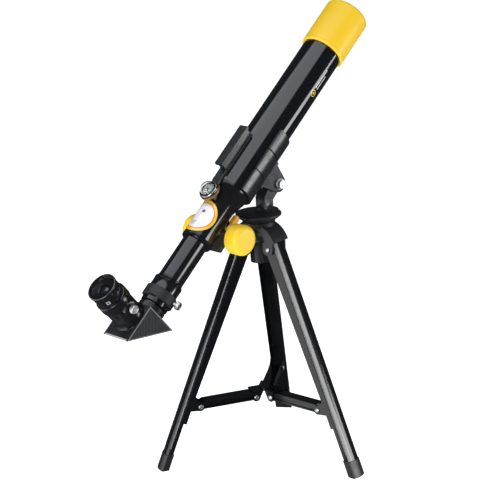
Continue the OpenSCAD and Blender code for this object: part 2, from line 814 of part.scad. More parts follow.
module eyepiece_barrel() {
    color(steel) on_tube() translate([0, eye_t, 26]) difference() {
        cylinder(h = socket_top + 0.2 - 26, r = barrel_r);
        translate([0, 0, -1]) cylinder(h = 60, r = barrel_r - 1.15);
    }
}

module eyepiece_lenses() {
    curve = 16;
    color(glass) on_tube() translate([0, eye_t, 0]) {
        translate([0, 0, eye_top - 14.4]) difference() {
            cylinder(h = 4.8, r = barrel_r - 1.25);
            translate([0, 0, -1]) cylinder(h = 8, r = 7.5);
        }
        translate([0, 0, eye_top - 12]) intersection() {
            cylinder(h = 6, r = 7.5);
            translate([0, 0, 4 - curve]) sphere(r = curve, $fn = 96);
        }
        translate([0, 0, 29]) intersection() {
            cylinder(h = 6, r = barrel_r - 1.15);
            translate([0, 0, 5.6 - 20]) sphere(r = 20, $fn = 96);
        }
    }
}

// ---- assembly ----

crown();
leg_hinge_screws();
leg_shell(0);  // leg_a
leg_shell(1);  // leg_b
leg_shell(2);  // leg_c
leg_liner(0);  // leg_liner_a
leg_liner(1);  // leg_liner_b
leg_liner(2);  // leg_liner_c
leg_foot(0);  // foot_a
leg_foot(1);  // foot_b
leg_foot(2);  // foot_c
brace_screws(0);  // brace_screws_a
brace_screws(1);  // brace_screws_b
brace_screws(2);  // brace_screws_c
brace_hub();
hub_screws();
brace_arm(0);  // brace_arm_a
brace_arm(1);  // brace_arm_b
brace_arm(2);  // brace_arm_c
pan_bolt();
head_casting();
tilt_bolt();
tilt_knob();
cradle();
cradle_screws();
main_tube();
lens_hood();
lens_cell();
objective_lens();
lens_retainer();
tube_baffle();
finder_rail();
compass_holder();
compass_bowl();
compass_bezel();
compass_dome();
compass_card();
focuser_body();
pinion_block();
pinion_shaft();
focus_knob(1);  // focus_knob_right
focus_knob(-1);  // focus_knob_left
focus_lock();
drawtube();
focus_rack();
draw_socket();
draw_socket_ring();
draw_thumbscrew();
diagonal_house();
diagonal_plates();
diagonal_nose();
diagonal_prism();
eyepiece_socket();
eye_thumbscrew();
eyepiece_body();
eyepiece_barrel();
eyepiece_lenses();
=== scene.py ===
"""Looks for a small refractor telescope on a tabletop tripod, built round its CAD frame.

Pieces are drawn in millimetres in a local frame and placed in the row's frame, in metres, by a matrix.
"""
import json
import math

import bmesh
import bpy
from mathutils import Matrix, Vector


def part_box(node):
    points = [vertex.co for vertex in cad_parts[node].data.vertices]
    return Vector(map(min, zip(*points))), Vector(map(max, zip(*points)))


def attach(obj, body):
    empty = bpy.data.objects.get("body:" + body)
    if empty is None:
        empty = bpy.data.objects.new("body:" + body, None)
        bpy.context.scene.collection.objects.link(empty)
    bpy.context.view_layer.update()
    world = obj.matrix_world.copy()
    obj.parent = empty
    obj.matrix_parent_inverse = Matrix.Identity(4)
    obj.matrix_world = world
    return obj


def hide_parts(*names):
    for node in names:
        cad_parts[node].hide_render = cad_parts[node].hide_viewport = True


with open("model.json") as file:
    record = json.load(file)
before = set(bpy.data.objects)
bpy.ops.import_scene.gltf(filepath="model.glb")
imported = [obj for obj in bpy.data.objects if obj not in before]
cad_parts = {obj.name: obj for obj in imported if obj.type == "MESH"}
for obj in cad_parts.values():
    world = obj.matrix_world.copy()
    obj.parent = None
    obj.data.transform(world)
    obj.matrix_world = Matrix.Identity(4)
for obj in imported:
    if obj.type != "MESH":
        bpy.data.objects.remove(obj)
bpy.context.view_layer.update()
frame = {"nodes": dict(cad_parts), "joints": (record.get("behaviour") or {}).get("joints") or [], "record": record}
MM = 0.001
TAU = 2 * math.pi

# ---- places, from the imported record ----

record = frame["record"]
joints = {joint["name"]: joint for joint in frame["joints"]}
mounts = {mount["name"]: mount for mount in record["mounts"]}


def frame_matrix(origin, x_axis, y_axis, z_axis):
    """Local millimetres to the row's metres, with the local axes along the given directions."""
    axes = [Vector(axis).normalized() * MM for axis in (x_axis, y_axis, z_axis)]
    columns = Matrix.Identity(4)
    for column, axis in enumerate(axes):
        columns.col[column] = (*axis, 0)
    columns.translation = Vector(origin)
    return columns


# the tube's frame: x across, y along the tube from its rear end, z up from its axis
ALONG = Vector(mounts["hood_mouth"]["axis"])
ACROSS = Vector((1, 0, 0))
OVER = ACROSS.cross(ALONG)
MOUTH_STATION = 244
TUBE = frame_matrix(Vector(mounts["hood_mouth"]["pos_m"]) - ALONG * MOUTH_STATION * MM, ACROSS, ALONG, OVER)


def tube_coords(point):
    """A point of the row's frame, in the tube's frame."""
    return TUBE.inverted() @ Vector(point)


LEG_LEAN = math.radians(22.2)
LEGS = ("a", "b", "c")


def leg_frame(letter):
    """The leg's frame: hinge at the origin, x outwards, the leg along -z."""
    joint = joints[f"fold_{letter}"]
    side = Vector(joint["axis"])
    outward = side.cross(Vector((0, 0, 1)))
    return frame_matrix(joint["pos_m"], outward, side, (0, 0, 1)) @ Matrix.Rotation(-LEG_LEAN, 4, "Y")


def level_frame(joint_name):
    """A frame at a joint of the tripod, x outwards, z up."""
    joint = joints[joint_name]
    side = Vector(joint["axis"])
    return frame_matrix(joint["pos_m"], side.cross(Vector((0, 0, 1))), side, (0, 0, 1))


# ---- materials ----

GRAIN_DEPTH = 0.0001


def new_material(name, color, roughness, metallic=0.0, coat=0.0, specular=0.5, transmission=0.0, ior=1.5):
    """A material with one Principled shader."""
    material = bpy.data.materials.new(name)
    material.use_nodes = True
    shader = material.node_tree.nodes["Principled BSDF"]
    shader.inputs["Base Color"].default_value = (*color, 1)
    shader.inputs["Roughness"].default_value = roughness
    shader.inputs["Metallic"].default_value = metallic
    shader.inputs["Coat Weight"].default_value = coat
    shader.inputs["Coat Roughness"].default_value = 0.06
    shader.inputs["Specular IOR Level"].default_value = specular
    shader.inputs["Transmission Weight"].default_value = transmission
    shader.inputs["IOR"].default_value = ior
    return material


def noise_node(material, scale, detail):
    """Noise over the object's own coordinates."""
    nodes, links = material.node_tree.nodes, material.node_tree.links
    coords = nodes.new("ShaderNodeTexCoord")
    noise = nodes.new("ShaderNodeTexNoise")
    noise.inputs["Scale"].default_value = scale
    noise.inputs["Detail"].default_value = detail
    links.new(coords.outputs["Object"], noise.inputs["Vector"])
    return noise


def vary_color(material, color_a, color_b, scale):
    """Blends two close colours by soft noise."""
    nodes, links = material.node_tree.nodes, material.node_tree.links
    noise = noise_node(material, scale, 3)
    ramp = nodes.new("ShaderNodeValToRGB")
    ramp.color_ramp.elements[0].position = 0.35
    ramp.color_ramp.elements[1].position = 0.65
    ramp.color_ramp.elements[0].color = (*color_a, 1)
    ramp.color_ramp.elements[1].color = (*color_b, 1)
    links.new(noise.outputs["Fac"], ramp.inputs["Fac"])
    links.new(ramp.outputs["Color"], nodes["Principled BSDF"].inputs["Base Color"])


def vary_roughness(material, low, high, scale):
    """Roughness between two values, by noise: handling marks on gloss, cloudy patches on satin."""
    nodes, links = material.node_tree.nodes, material.node_tree.links
    noise = noise_node(material, scale, 4)
    spread = nodes.new("ShaderNodeMapRange")
    spread.inputs["From Min"].default_value = 0.3
    spread.inputs["From Max"].default_value = 0.7
    spread.inputs["To Min"].default_value = low
    spread.inputs["To Max"].default_value = high
    links.new(noise.outputs["Fac"], spread.inputs["Value"])
    links.new(spread.outputs["Result"], nodes["Principled BSDF"].inputs["Roughness"])


def grain(material, scale, strength):
    """Fine moulded or brushed grain as bump."""
    nodes, links = material.node_tree.nodes, material.node_tree.links
    noise = noise_node(material, scale, 2)
    bump = nodes.new("ShaderNodeBump")
    bump.inputs["Strength"].default_value = strength
    bump.inputs["Distance"].default_value = GRAIN_DEPTH
    links.new(noise.outputs["Fac"], bump.inputs["Height"])
    links.new(bump.outputs["Normal"], nodes["Principled BSDF"].inputs["Normal"])


def lacquer(name, color=(0.006, 0.0062, 0.008)):
    """Gloss black lacquer, almost a mirror, with faint handling marks."""
    material = new_material(name, color, 0.1, specular=0.55)
    vary_roughness(material, 0.07, 0.13, 60)
    grain(material, 900, 0.03)
    return material


def satin_black(name, color, low, high, texture=0.08):
    """Black or grey moulded plastic or enamel with a fine grain, its roughness between low and high."""
    material = new_material(name, color, 0.4, specular=0.5)
    vary_color(material, color, tuple(c * 1.35 for c in color), 40)
    vary_roughness(material, low, high, 120)
    grain(material, 2600, texture)
    return material


def coloured_plastic(name, color, deep):
    """Satin moulded plastic that varies between two close colours."""
    material = new_material(name, color, 0.36, specular=0.45)
    vary_color(material, color, deep, 18)
    vary_roughness(material, 0.3, 0.42, 90)
    grain(material, 1800, 0.05)
    return material


def plated_steel(name, color, roughness):
    """Bright plated steel with turning marks."""
    material = new_material(name, color, roughness, metallic=1.0)
    vary_roughness(material, roughness * 0.7, roughness * 1.4, 400)
    grain(material, 1500, 0.06)
    return material


def clear(name, color, ior=1.5):
    """Glass or clear plastic."""
    material = new_material(name, color, 0.03, transmission=1.0, ior=ior)
    vary_roughness(material, 0.03, 0.06, 150)
    return material


def printed(name, color, deep):
    """Gloss printed film."""
    material = new_material(name, color, 0.22, coat=0.4)
    vary_color(material, color, deep, 60)
    vary_roughness(material, 0.18, 0.28, 200)
    return material


TUBE_BLACK = lacquer("tube_lacquer")
NECK_BLACK = satin_black("focuser_gloss", (0.006, 0.006, 0.0075), 0.1, 0.14, 0.005)
EYE_BLACK = satin_black("eyepiece_satin", (0.006, 0.006, 0.0075), 0.17, 0.23, 0.01)
LEG_BLACK = satin_black("leg_enamel", (0.004, 0.0042, 0.005), 0.12, 0.17, 0.01)
# painted highlight: pale grey for the light that the legs' corners catch
LEG_CORNER_HIGHLIGHT = satin_black("leg_edge", (0.15, 0.152, 0.16), 0.2, 0.3)
CAST_BLACK = satin_black("casting_black", (0.013, 0.0135, 0.0155), 0.26, 0.36)
CRADLE_BLACK = satin_black("cradle_black", (0.011, 0.0115, 0.0135), 0.2, 0.3)
FLAT_BLACK = satin_black("flat_black", (0.006, 0.006, 0.006), 0.6, 0.75)
RIB_BASE = satin_black("rib_base", (0.011, 0.011, 0.0125), 0.5, 0.6)
# painted sheen: the ribs are lighter than the plate for the light that catches their tops
RIB_SHEEN_GREY = satin_black("painted_rib_sheen", (0.038, 0.039, 0.043), 0.4, 0.5)
# painted highlight: pale grey for the light along the side plates' rims
RIM_HIGHLIGHT_GREY = satin_black("painted_rim_highlight", (0.15, 0.152, 0.16), 0.3, 0.4)
# painted highlight: grey for the light along the eyepiece's top rim
EYE_RIM_HIGHLIGHT = satin_black("painted_eye_rim_highlight", (0.06, 0.061, 0.066), 0.16, 0.24, 0.02)
# painted highlight: pale grey for the bright strip along the diagonal's lower rear corner
CORNER_HIGHLIGHT_GREY = satin_black("painted_corner_highlight", (0.42, 0.42, 0.43), 0.3, 0.4)
RING_GREY = satin_black("ring_grey", (0.017, 0.0185, 0.019), 0.45, 0.55)
YELLOW = coloured_plastic("hood_yellow", (0.92, 0.60, 0.030), (0.90, 0.575, 0.022))
KNOB_YELLOW = coloured_plastic("knob_yellow", (0.93, 0.62, 0.030), (0.90, 0.59, 0.024))
ORANGE = coloured_plastic("lock_orange", (0.88, 0.44, 0.012), (0.82, 0.38, 0.010))
FOOT_BLACK = satin_black("foot_rubber", (0.010, 0.010, 0.012), 0.3, 0.42)
STEEL = plated_steel("plated_steel", (0.82, 0.82, 0.83), 0.34)
CHROME = plated_steel("chrome", (0.78, 0.78, 0.80), 0.1)
BEZEL_STEEL = plated_steel("bezel_steel", (0.32, 0.33, 0.33), 0.16)
LENS_GLASS = clear("lens_glass", (0.86, 0.93, 0.97))
# painted shade: an opaque near-black gloss lens, for the shaded inside of the eyepiece seen through it
EYE_LENS_SHADE = lacquer("eye_lens_painted_shade", (0.012, 0.014, 0.022))
PRISM_GLASS = clear("prism_glass", (0.9, 0.95, 0.97))
DOME_CLEAR = clear("dome_clear", (0.95, 0.97, 0.97), ior=1.35)
AMBER = coloured_plastic("amber_bowl", (0.25, 0.12, 0.03), (0.18, 0.08, 0.02))
WHITE_PRINT = printed("print_white", (0.86, 0.85, 0.87), (0.82, 0.81, 0.84))
RED_PRINT = printed("print_red", (0.86, 0.20, 0.11), (0.82, 0.17, 0.10))
YELLOW_PRINT = printed("print_yellow", (0.94, 0.62, 0.02), (0.92, 0.58, 0.018))
DARK_PRINT = printed("print_dark", (0.03, 0.03, 0.035), (0.025, 0.025, 0.03))
PINK_PRINT = printed("print_pink", (0.80, 0.42, 0.42), (0.78, 0.38, 0.38))
MARK_GREY = printed("mark_grey", (0.34, 0.35, 0.38), (0.30, 0.31, 0.34))
CARD_GREEN = printed("card_green", (0.42, 0.50, 0.46), (0.38, 0.46, 0.42))

SLOT_MATERIALS = {
    "gloss_black_tube": TUBE_BLACK,
    "black_leg_steel": LEG_BLACK,
    "black_casting": CAST_BLACK,
    "gloss_black_plastic": NECK_BLACK,
    "flat_black_inside": FLAT_BLACK,
    "yellow_plastic": YELLOW,
    "orange_plastic": ORANGE,
    "black_rubber": FOOT_BLACK,
    "bright_steel": STEEL,
    "chrome_trim": CHROME,
    "amber_plastic": AMBER,
    "card_white": WHITE_PRINT,
    "optical_glass": LENS_GLASS,
    "clear_dome": DOME_CLEAR,
}
# the nodes whose material differs from their slot's
NODE_MATERIALS = {
    "cradle": CRADLE_BLACK,
    "finder_rail": CRADLE_BLACK,
    "diagonal_prism": PRISM_GLASS,
}
WELD_M = 0.00001
CELLS_PER_M = 50000
SHARP_ANGLE = 38
SOFT_EDGE = 0.28
# the widths of the softened edges that differ from SOFT_EDGE
SOFT_EDGES = {
    "leg_a": 0.12,
    "leg_b": 0.12,
    "leg_c": 0.12,
    "crown": 0.7,
    "head_casting": 0.7,
    "cradle": 0.35,
    "diagonal_house": 0.5,
    "finder_rail": 0.4,
}


def dress_cad():
    """Gives every CAD node its material, softened edges and smooth shading."""
    slot_of = {part["node"]: part["material_slot"] for part in record["subparts"]}
    for node, piece in frame["nodes"].items():
        material = NODE_MATERIALS.get(node, SLOT_MATERIALS[slot_of[node]])
        piece.data.materials.clear()
        piece.data.materials.append(material)
        weld = piece.modifiers.new("weld", "WELD")
        weld.merge_threshold = WELD_M
        edges = soften(piece, SOFT_EDGES.get(node, SOFT_EDGE), SHARP_ANGLE)
        edges.use_clamp_overlap = True
        edges.harden_normals = True
        piece.data.shade_smooth()
        smooth_by_angle(piece, SHARP_ANGLE)


def soften(piece, width, angle):
    """Bevels the edges sharper than the angle."""
    edges = piece.modifiers.new("edges", "BEVEL")
    edges.width = width * MM
    edges.segments = 2
    edges.limit_method = "ANGLE"
    edges.angle_limit = math.radians(angle)
    return edges


def smooth_by_angle(piece, degrees):
    """Keeps edges sharper than the angle hard, across split vertices too."""
    mesh = piece.data
    if "custom_normal" in mesh.attributes:
        mesh.attributes.remove(mesh.attributes["custom_normal"])
    bm = bmesh.new()
    bm.from_mesh(mesh)
    bmesh.ops.remove_doubles(bm, verts=bm.verts, dist=WELD_M / 2)
    limit = math.radians(degrees)

    def place_of(co):
        return tuple(round(c * CELLS_PER_M) for c in co)

    sharp = set()
    for edge in bm.edges:
        if len(edge.link_faces) != 2 or edge.calc_face_angle(0) > limit:
            sharp.add(frozenset(place_of(vert.co) for vert in edge.verts))
    bm.free()
    points = [place_of(vert.co) for vert in mesh.vertices]
    values = [frozenset(points[k] for k in edge.vertices) in sharp for edge in mesh.edges]
    flags = mesh.attributes.get("sharp_edge") or mesh.attributes.new("sharp_edge", "BOOLEAN", "EDGE")
    flags.data.foreach_set("value", values)


# ---- building pieces ----


def place(name, bm, matrix, material, body, replaces=(), bevel=0.0, angle=35):
    """Turns a bmesh into a piece that rides on a body; bevel in mm softens its edges."""
    bmesh.ops.remove_doubles(bm, verts=bm.verts, dist=0.0005)
    bmesh.ops.recalc_face_normals(bm, faces=bm.faces)
    bm.transform(matrix)
    if matrix.determinant() < 0:
        bmesh.ops.reverse_faces(bm, faces=bm.faces)
    mesh = bpy.data.meshes.new(name)
    bm.to_mesh(mesh)
    bm.free()
    piece = bpy.data.objects.new(name, mesh)
    bpy.context.scene.collection.objects.link(piece)
    mesh.materials.append(material)
    mesh.shade_smooth()
    smooth_by_angle(piece, angle)
    if bevel:
        soften(piece, bevel, angle)
    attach(piece, body)
    if replaces:
        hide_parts(*replaces)
    return piece


def polar(radius, angle, height):
    """A point at a radius, an angle about z and a height."""
    return Vector((radius * math.cos(angle), radius * math.sin(angle), height))


def lathe(bm, profile, segments=96, turn=Matrix.Identity(4), flute=None):
    """Revolves (radius, height) points round z.

    flute(angle) scales the radius of the points that have a third value.
    """
    rings = []
    for point in profile:
        radius, height = point[0], point[1]
        ring = []
        for step in range(segments):
            angle = TAU * step / segments
            scale = flute(angle) if flute and len(point) > 2 else 1
            ring.append(bm.verts.new(turn @ polar(radius * scale, angle, height)))
        rings.append(ring)
    for lower, upper in zip(rings, rings[1:]):
        for step in range(segments):
            after = (step + 1) % segments
            bm.faces.new((lower[step], lower[after], upper[after], upper[step]))
    return rings


def cap(bm, ring):
    """Closes a ring of vertices with one face."""
    bm.faces.new(ring)


def prism(bm, outline, low, high, turn=Matrix.Identity(4)):
    """Extrudes an outline of (x, y) points from low to high along z."""
    bottom = [bm.verts.new(turn @ Vector((x, y, low))) for x, y in outline]
    top = [bm.verts.new(turn @ Vector((x, y, high))) for x, y in outline]
    bm.faces.new(bottom[::-1])
    bm.faces.new(top)
    count = len(outline)
    for step in range(count):
        after = (step + 1) % count
        bm.faces.new((bottom[step], bottom[after], top[after], top[step]))


def round_corner(centre, radius, start, end, steps=8):
    """Points on an arc, angles in degrees."""
    return [
        (centre[0] + radius * math.cos(math.radians(start + (end - start) * k / steps)),
         centre[1] + radius * math.sin(math.radians(start + (end - start) * k / steps)))
        for k in range(steps + 1)
    ]


def towards(direction, at=(0, 0, 0)):
    """A matrix that turns local z to a direction and moves to a place."""
    return Matrix.Translation(Vector(at)) @ Vector(direction).to_track_quat("Z", "Y").to_matrix().to_4x4()


# along the tube as the axis of turning
ALONG_TUBE = Matrix.Rotation(-math.pi / 2, 4, "X")


# ---- screws ----


def pan_head(bm, at, direction, radius, thickness):
    """A domed screw head with a cross recess."""
    turn = towards(direction, at)
    rings, segments, skirt = 10, 48, 0.35
    previous = [bm.verts.new(turn @ polar(radius, TAU * k / segments, 0)) for k in range(segments)]
    for level in range(rings + 1):
        rise = math.pi / 2 * level / (rings + 0.6)
        reach = radius * math.cos(rise)
        height = thickness * (skirt + (1 - skirt) * math.sin(rise))
        ring = []
        for k in range(segments):
            point = polar(reach, TAU * k / segments, height)
            if min(abs(point.x), abs(point.y)) < radius * 0.13 and reach < radius * 0.62:
                point.z -= thickness * 0.45
            ring.append(bm.verts.new(turn @ point))
        for k in range(segments):
            after = (k + 1) % segments
            bm.faces.new((previous[k], previous[after], ring[after], ring[k]))
        previous = ring
    cap(bm, previous)


def shank(bm, low, high, radius, turn):
    """A plain pin along local z."""
    rings = lathe(bm, [(radius, low), (radius, high)], 32, turn)
    cap(bm, rings[0][::-1])
    cap(bm, rings[1])


def tripod_screws():
    """Hinge and brace screws with cross-recessed heads."""
    head_radius, head_height = 2.7, 1.6
    lug_half, hub_half, liner_half, sheet = 11.2, 7.9, 7.5, 0.8
    through = (("hinge_screw", "fold", lug_half, 2, "crown", "leg_hinge_screws"),
               ("hub_screw", "arm", hub_half, 1.5, "brace_hub", "hub_screws"))
    for letter in LEGS:
        for name, joint, half, radius, body, node in through:
            bm = bmesh.new()
            for side in (-1, 1):
                pan_head(bm, (0, side * half, 0), (0, side, 0), head_radius, head_height)
            shank(bm, -half, half, radius, towards((0, 1, 0)))
            level = level_frame(f"{joint}_{letter}")
            place(f"{name}_{letter}", bm, level, STEEL, body, [node])
        low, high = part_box(f"brace_screws_{letter}")
        centre = leg_frame(letter).inverted() @ ((low + high) / 2)
        bm = bmesh.new()
        for side in (-1, 1):
            turn = towards((0, side, 0), (centre.x, 0, centre.z))
            pan_head(bm, (centre.x, side * liner_half, centre.z), (0, side, 0), head_radius, head_height)
            shank(bm, liner_half - sheet, liner_half, 1.5, turn)
        place(f"brace_screw_{letter}", bm, leg_frame(letter), STEEL, f"leg_{letter}",
              [f"brace_screws_{letter}"])


def thumbscrew(node, seat, radius, matrix):
    """A knurled head with a dished end, on a plain stem along local x."""
    teeth, stem, tip = 30, 1.7, 12.4

    def knurl(angle):
        return 0.97 + 0.035 * abs(math.sin(angle * teeth / 2)) ** 0.7

    bm = bmesh.new()
    profile = [(stem, tip), (stem, seat + 1.6), (radius - 1.5, seat + 1.8), (radius - 1.5, seat + 3),
               (radius - 0.5, seat + 3), (radius, seat + 3.5, 1), (radius, seat + 6.9, 1),
               (radius - 0.6, seat + 7.5), (radius - 1.2, seat + 7.5), (radius - 1.5, seat + 7.1)]
    rings = lathe(bm, profile, 120, towards((1, 0, 0)), knurl)
    cap(bm, rings[0][::-1])
    cap(bm, rings[-1])
    place(f"{node}_knurled", bm, matrix, STEEL, node, [node], bevel=0.06)


# ---- focuser details ----


def wrapped_patch(bm, centre, radius, inner, outer, about=90, steps=96, rows=6):
    """A ring or disc laid on a cylinder round the tube's axis.

    centre is (across, along), and about is the side of the tube that it faces, in degrees.
    """
    loops = []
    for row in range(rows + 1):
        reach = inner + (outer - inner) * row / rows
        loop = []
        for step in range(steps):
            angle = TAU * step / steps
            turn = math.radians(about) - (centre[0] + reach * math.cos(angle)) / radius
            station = centre[1] + reach * math.sin(angle)
            loop.append(bm.verts.new((radius * math.cos(turn), station, radius * math.sin(turn))))
        loops.append(loop)
    for inside, outside in zip(loops, loops[1:]):
        for step in range(steps):
            after = (step + 1) % steps
            bm.faces.new((inside[step], inside[after], outside[after], outside[step]))


def wrapped_bar(bm, across, along, radius, about=90, columns=12):
    """A bar from across[0] to across[1] and from along[0] to along[1], laid on the cylinder."""
    pairs = []
    for column in range(columns + 1):
        x = across[0] + (across[1] - across[0]) * column / columns
        turn = math.radians(about) - x / radius
        pairs.append([bm.verts.new((radius * math.cos(turn), station, radius * math.sin(turn)))
                      for station in along])
    for (a, b), (c, d) in zip(pairs, pairs[1:]):
        bm.faces.new((a, b, d, c))


NECK_RADIUS = 16.0
# the radius left open at the middle of a disc or a dome
PINHOLE = 0.01


def decal():
    """The round label over the focuser: yellow rim, red ring, white field and a plain star pattern."""
    station, radius, ring, field = -36.5, 18.6, 16.0, 14.8
    for name, material, inner, outer in (("label_rim", YELLOW_PRINT, ring, radius),
                                         ("label_ring", RED_PRINT, field, ring),
                                         ("label_field", WHITE_PRINT, PINHOLE, field)):
        bm = bmesh.new()
        wrapped_patch(bm, (0, station), NECK_RADIUS + 0.06, inner, outer)
        place(name, bm, TUBE, material, "tube")
    top = NECK_RADIUS + 0.1
    star_across, star_along = 2, station + 5.5
    bm = bmesh.new()
    wrapped_patch(bm, (star_across, star_along), top, PINHOLE, 1.9, steps=32)
    for k in range(4):
        low = station - 7.4 - 1.3 * k
        wrapped_bar(bm, (-7 + k, 1.5 - k), (low, low + 0.4), top)
    place("label_sun", bm, TUBE, DARK_PRINT, "tube")
    bm = bmesh.new()
    rays = 12
    for k in range(rays):
        turn = Matrix.Rotation(TAU * k / rays, 2)
        corners = []
        for point in ((2.8, -0.28), (5.0, 0), (2.8, 0.28)):
            x, y = turn @ Vector(point)
            angle = math.pi / 2 - (x + star_across) / top
            corners.append(bm.verts.new((top * math.cos(angle), star_along + y, top * math.sin(angle))))
        bm.faces.new(corners)
    place("label_rays", bm, TUBE, PINK_PRINT, "tube")


def tube_mark():
    """A small plain emblem on the side of the tube: a ring with a dot, and two bars."""
    about, station, radius = -6, 142, 21.55
    bm = bmesh.new()
    wrapped_patch(bm, (0, station), radius, 3.0, 3.8, about, 48, 2)
    wrapped_patch(bm, (0, station), radius, PINHOLE, 1.4, about, 32, 2)
    place("tube_mark", bm, TUBE, YELLOW_PRINT, "tube")
    bm = bmesh.new()
    for across, length in ((-1.9, 24), (1.1, 18)):
        wrapped_bar(bm, (across, across + 0.9), (station + 6, station + 6 + length), radius, about, 2)
    place("tube_lines", bm, TUBE, WHITE_PRINT, "tube")


def leg_corner_highlights():
    """A painted highlight: a pale grey strip along both corners of each leg's bowed outer face."""
    half_width, sunk, depth, taper = 0.55, 0.12, 0.5, 0.3
    face_half, bow_radius, tilt = 8.35, 22, math.radians(56)
    bow = bow_radius - math.sqrt(bow_radius ** 2 - face_half ** 2)
    bottom, top = -226, -2
    for letter in LEGS:
        matrix = leg_frame(letter)
        to_leg = matrix.inverted()
        face = max((to_leg @ vert.co).x for vert in frame["nodes"][f"leg_{letter}"].data.vertices)
        bm = bmesh.new()
        for side in (-1, 1):
            corner = Vector((face - bow, side * face_half))
            normal = Vector((math.cos(tilt), side * math.sin(tilt)))
            along = Vector((-normal.y, normal.x))
            outline = [corner + along * half_width - normal * sunk,
                       corner - along * half_width - normal * sunk,
                       corner - along * (half_width - taper) - normal * depth,
                       corner + along * (half_width - taper) - normal * depth]
            prism(bm, outline, bottom, top)
        place(f"leg_edge_{letter}", bm, matrix, LEG_CORNER_HIGHLIGHT, f"leg_{letter}", angle=20)


def knobs():
    """The two focus knobs: drums with a wide rounded rim and a shallow dished face."""
    low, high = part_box("focus_knob_right")
    centre = tube_coords((low + high) / 2)
    spot = TUBE @ Matrix.Translation(Vector((0, centre.y, centre.z)))
    inner, outer, radius, corner = 23.0, 40.0, 15.6, 5.2
    rim = round_corner((radius - corner, outer - corner), corner, 0, 90, 10)
    profile = [(2.55, inner - 8), (4.6, inner - 8), (5, inner - 7.6), (5, inner), (radius - 1.6, inner),
               (radius - 0.5, inner + 0.4), (radius, inner + 1.4)]
    profile += rim + [(6.5, outer + 0.06), (2, outer + 0.1)]
    for side, label in ((1, "right"), (-1, "left")):
        bm = bmesh.new()
        rings = lathe(bm, profile, 128, towards((side, 0, 0)))
        cap(bm, rings[-1])
        place(f"yellow_knob_{label}", bm, spot, KNOB_YELLOW, "focus_drive",
              [f"focus_knob_{label}"])


def lock_stem():
    """The bright stem of the focus lock."""
    bm = bmesh.new()
    profile = [(0.3, -30.5), (1.3, -30.2), (1.45, -29.8), (1.45, -22), (1.2, -21.6), (1.2, -20.6)]
    rings = lathe(bm, profile, 32, towards((0, 1, 0), (9, 0, -17.6)))
    cap(bm, rings[0][::-1])
    cap(bm, rings[-1])
    place("lock_stem", bm, TUBE, STEEL, "focus_lock")


def socket_ring():
    """The matte, finely ribbed ring of the drawtube's socket."""
    low, high, outer, inner, ribs = -133.0, -122.0, 16.8, 15.0, 60

    def rib(angle):
        return 1 - 0.012 * (0.5 + 0.5 * math.cos(angle * ribs))

    bm = bmesh.new()
    profile = [(inner, low), (outer - 0.5, low), (outer, low + 0.5), (outer, low + 1.2),
               (outer, low + 1.6, 1), (outer, high - 1.6, 1), (outer, high - 1.2), (outer, high - 0.5),
               (outer - 0.5, high), (inner, high), (inner, low)]
    lathe(bm, profile, 480, ALONG_TUBE)
    place("socket_ribs", bm, TUBE, RING_GREY, "drawtube", ["draw_socket_ring"])


# ---- diagonal ----

HOUSE_FRONT, HOUSE_HIGH, HOUSE_LEG = -147.4, 18.5, 42.0
HOUSE_HALF, PLATE, RIM_DEPTH = 18.0, 2.5, 0.75
# turns an outline in (along, over) to face across the tube
SIDEWAYS = Matrix(((0, 0, 1, 0), (1, 0, 0, 0), (0, 1, 0, 0), (0, 0, 0, 1)))


def triangle(inset):
    """The house's side outline in (along, over), moved inwards by inset."""
    step = inset * (1 + math.sqrt(2))
    return [(HOUSE_FRONT - inset, HOUSE_HIGH - inset), (HOUSE_FRONT - HOUSE_LEG + step, HOUSE_HIGH - inset),
            (HOUSE_FRONT - inset, HOUSE_HIGH - HOUSE_LEG + step)]


def side_plates():
    """Side plates of the diagonal: a thin rim painted pale grey as a highlight, round a field of fine upright ribs
    painted lighter than the plate as a sheen.
    """
    rim, pitch, shortest = 1.3, 1.9, 1
    field, rib_top = HOUSE_HALF - RIM_DEPTH, HOUSE_HALF - 0.3
    outer, inner = triangle(0.0), triangle(rim)
    apex = Vector(triangle(rim + 0.3)[0])
    down = Vector((-1, -1)).normalized()
    sideways = Vector((-1, 1)).normalized()
    height = HOUSE_LEG / math.sqrt(2) - rim * 2.5
    count = int(height / pitch)
    half = sideways * 0.5
    for side, label in ((1, "right"), (-1, "left")):
        face = Matrix.Scale(side, 4, (1, 0, 0)) @ SIDEWAYS
        bm = bmesh.new()
        prism(bm, outer, HOUSE_HALF - PLATE, field, face)
        place(f"side_plate_{label}", bm, TUBE, RIB_BASE, "diagonal",
              ["diagonal_plates"] if side > 0 else (), bevel=0.25)
        # the rim, pale grey as a painted highlight
        bm = bmesh.new()
        for k in range(3):
            after = (k + 1) % 3
            prism(bm, [outer[k], outer[after], inner[after], inner[k]], field, HOUSE_HALF, face)
        place(f"side_rim_{label}", bm, TUBE, RIM_HIGHLIGHT_GREY, "diagonal", bevel=0.2)
        # the upright ribs, lighter than the plate as a painted sheen
        bm = bmesh.new()
        for k in range(-count, count + 1):
            start = apex + sideways * k * pitch + down * (abs(k) * pitch + 0.25)
            length = height - abs(k) * pitch - 0.6
            if length < shortest:
                continue
            end = start + down * length
            prism(bm, [start - half, end - half, end + half, start + half], field, rib_top, face)
        place(f"side_ribs_{label}", bm, TUBE, RIB_SHEEN_GREY, "diagonal", bevel=0.15)


def house_corner_highlight():
    """A painted highlight: a pale strip along the house's lower rear corner."""
    rear, half = HOUSE_FRONT - HOUSE_LEG, HOUSE_HALF - PLATE
    top, bottom = HOUSE_HIGH + 0.02, HOUSE_HIGH - 1.4
    outline = [(rear + 0.25, top), (rear + 2.3, top), (rear + 2.3, bottom), (rear + 1.5, bottom)]
    bm = bmesh.new()
    prism(bm, outline, -half, half, SIDEWAYS)
    place("house_corner_highlight", bm, TUBE, CORNER_HIGHLIGHT_GREY, "diagonal", bevel=0.15)


# ---- eyepiece ----

EYE = TUBE @ Matrix.Translation(Vector((0, -163.5, 0)))


